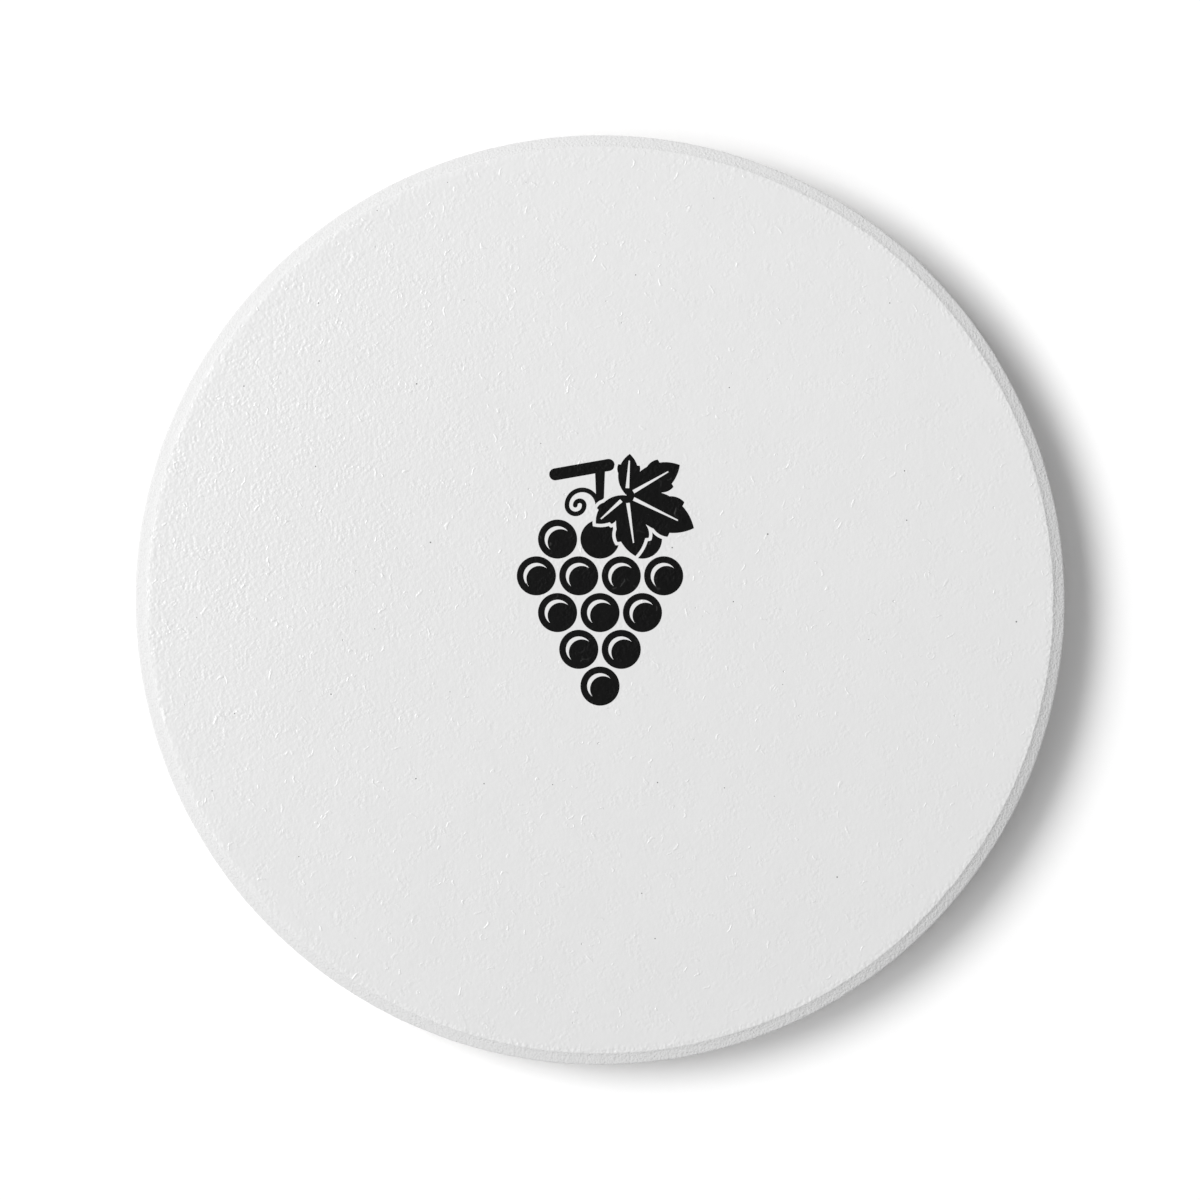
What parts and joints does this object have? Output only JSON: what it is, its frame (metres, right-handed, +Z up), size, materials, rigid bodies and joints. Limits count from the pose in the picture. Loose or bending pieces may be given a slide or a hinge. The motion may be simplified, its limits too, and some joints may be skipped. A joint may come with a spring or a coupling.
{
  "type": "drinks coaster",
  "caption": "Round flat ceramic drinks coaster with a bevelled rim, a satin face printed with a bunch of grapes, and a cork backing.",
  "frame": {"origin": "centre of the cork's underside, on the surface that the coaster lies on", "axes": "+Z up, out of the printed face, along the disc's own axis; +Y towards the top of the print; +X to the right as the print is read"},
  "size_m": [0.1, 0.1, 0.009],
  "materials": {
    "ceramic": "matte",
    "satin_coat": "satin",
    "black_dye": "satin",
    "adhesive": "satin",
    "cork": "matte"
  },
  "bodies": {
    "root": {"ceramic_disc": "ceramic", "face_coat": "satin_coat", "grape_print": "black_dye", "leaf_print": "black_dye", "cane_print": "black_dye", "adhesive_sheet": "adhesive", "cork_backing": "cork"}
  },
  "joints": []
}
